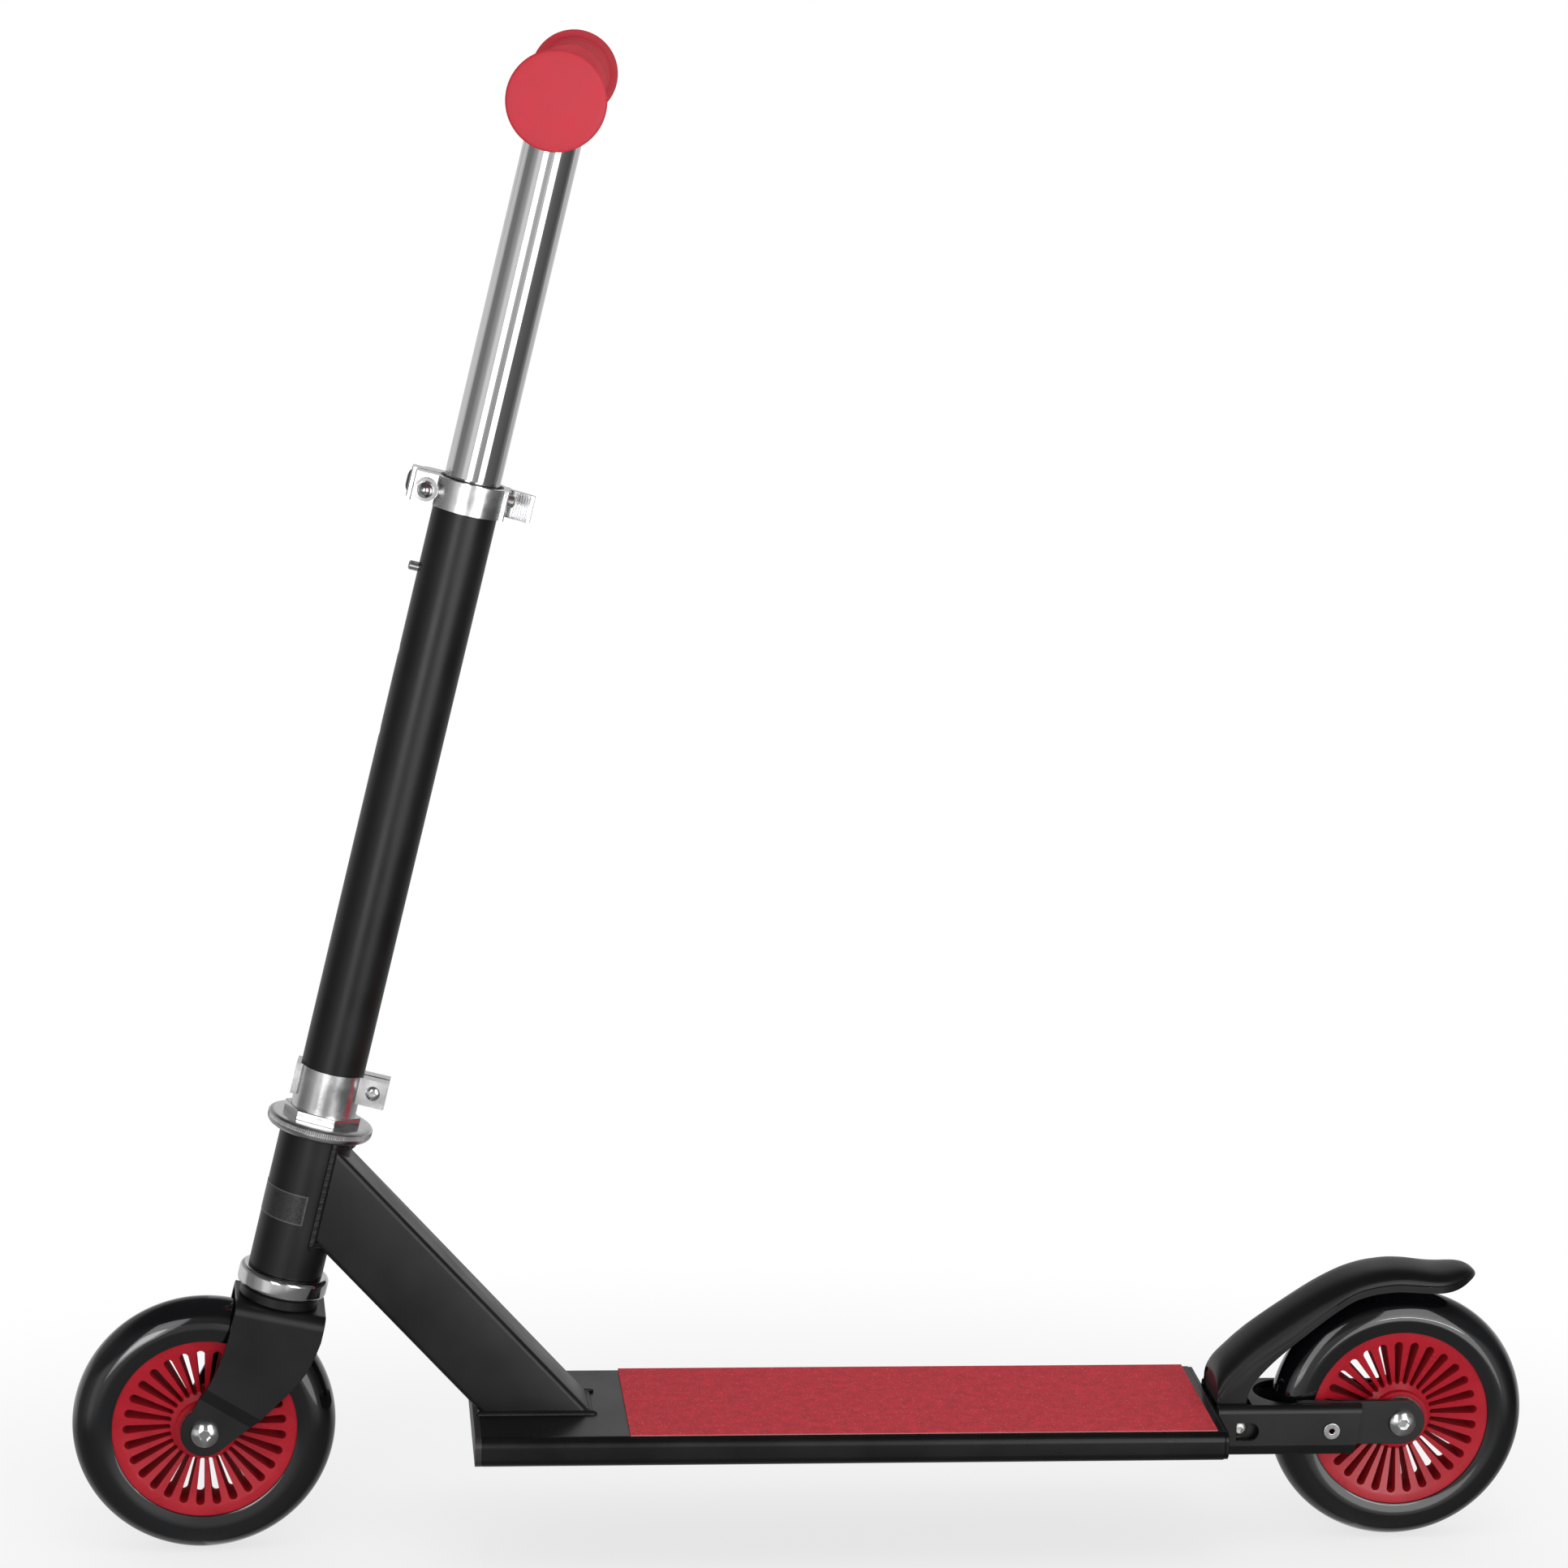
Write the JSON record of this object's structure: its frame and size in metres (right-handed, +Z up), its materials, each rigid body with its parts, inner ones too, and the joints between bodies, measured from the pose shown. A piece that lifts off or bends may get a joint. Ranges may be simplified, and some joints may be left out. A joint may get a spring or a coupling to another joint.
{
  "type": "kick scooter",
  "caption": "Two-wheeled kick scooter with a turning fork, height-adjustable handlebar, quick-release collar, slotted wheel cores and a press-down rear fender brake.",
  "frame": {"origin": "on the floor, midway between the wheels, in the deck's middle plane", "axes": "+X towards the rear wheel, +Y to the rider's right when facing forwards (-X), +Z up"},
  "size_m": [0.677, 0.33, 0.6934],
  "materials": {
    "frame_paint": "satin black paint",
    "deck_paint": "black powder coat on extruded aluminium",
    "black_plastic": "satin black moulding",
    "brake_lining": "matte",
    "grip_tape": "gritty, with fine sparkle",
    "zinc_steel": "zinc plated",
    "bearing_steel": "ground",
    "chrome": "mirror chrome plate",
    "polished_aluminium": "polished",
    "sticker": "gloss foil",
    "bush_plastic": "moulded",
    "grip_rubber": "matte",
    "tyre": "gloss cast tyre",
    "core_plastic": "satin moulding"
  },
  "bodies": {
    "frame": {"head_tube": "frame_paint", "down_tube": "frame_paint", "frame_welds": "frame_paint", "deck": "deck_paint", "deck_front_cap": "black_plastic", "deck_rear_plate": "deck_paint", "grip_tape": "grip_tape", "rear_bracket": "frame_paint", "rear_dropout_left": "frame_paint", "rear_dropout_right": "frame_paint", "bracket_spacers": "zinc_steel", "bracket_rivets": "zinc_steel", "fender_pivot_bolt": "zinc_steel", "rear_axle_bolt": "zinc_steel", "rear_axle_nut": "zinc_steel", "rear_inner_races": "bearing_steel", "lower_headset_cup": "chrome", "upper_headset_cup": "chrome", "head_tube_sticker": "sticker", "brake_spring": "zinc_steel"},
    "steering_head": {"fork": "frame_paint", "crown_race": "frame_paint", "lower_bearing_balls": "bearing_steel", "upper_bearing_balls": "bearing_steel", "steerer_tube": "zinc_steel", "headset_flange": "polished_aluminium", "locknut": "zinc_steel", "lower_clamp": "polished_aluminium", "lower_clamp_bolt": "zinc_steel", "column_tube": "frame_paint", "column_bush": "bush_plastic", "upper_collar": "polished_aluminium", "collar_screw": "zinc_steel", "skewer": "zinc_steel", "domed_nut": "chrome", "cam_seat": "black_plastic", "lever_pin": "zinc_steel", "front_axle_bolt": "zinc_steel", "front_axle_nut": "zinc_steel", "front_inner_races": "bearing_steel"},
    "quick_release_lever": {"clamp_lever": "polished_aluminium"},
    "handlebar": {"stem_tube": "chrome", "crossbar": "chrome", "left_grip": "grip_rubber", "right_grip": "grip_rubber", "button_spring": "zinc_steel"},
    "height_button": {"snap_button": "zinc_steel"},
    "front_wheel": {"front_tyre": "tyre", "front_core": "core_plastic", "front_bearings": "bearing_steel", "front_bearing_balls": "bearing_steel"},
    "rear_wheel": {"rear_tyre": "tyre", "rear_core": "core_plastic", "rear_bearings": "bearing_steel", "rear_bearing_balls": "bearing_steel"},
    "rear_brake": {"brake_fender": "black_plastic", "brake_pad": "brake_lining"}
  },
  "joints": [
    {"name": "steering", "type": "hinge", "parent": "frame", "child": "steering_head", "pos_m": [-0.25801, 0, 0.06], "axis": [0.2164, 0, 0.9763], "continuous": true},
    {"name": "front_wheel_spin", "type": "hinge", "parent": "steering_head", "child": "front_wheel", "pos_m": [-0.27849, -0.0007, 0.06], "axis": [-0.0341, 0.9994, 0.0076], "continuous": true},
    {"name": "rear_wheel_spin", "type": "hinge", "parent": "frame", "child": "rear_wheel", "pos_m": [0.2785, 0, 0.06], "axis": [0, 1, 0], "continuous": true},
    {"name": "handlebar_height", "type": "slide", "parent": "steering_head", "child": "handlebar", "axis": [0.2164, 0, 0.9763], "range_m": [-0.076, 0], "deforming": ["snap_button"]},
    {"name": "height_button_press", "type": "slide", "parent": "handlebar", "child": "height_button", "axis": [0.9733, -0.0785, -0.2158], "range_m": [0, 0.006], "stiffness_N_per_m": 500, "springref_m": -0.003, "deforming": ["button_spring"]},
    {"name": "quick_release", "type": "hinge", "parent": "steering_head", "child": "quick_release_lever", "pos_m": [-0.18, 0.01894, 0.49308], "axis": [0.2164, 0, 0.9763], "range_deg": [0, 130]},
    {"name": "brake_press", "type": "hinge", "parent": "frame", "child": "rear_brake", "pos_m": [0.2007, 0, 0.0578], "axis": [0, 1, 0], "range_deg": [0, 4.5], "stiffness_Nm_per_rad": 0.6, "springref_deg": -17.19, "deforming": ["brake_spring"]}
  ]
}
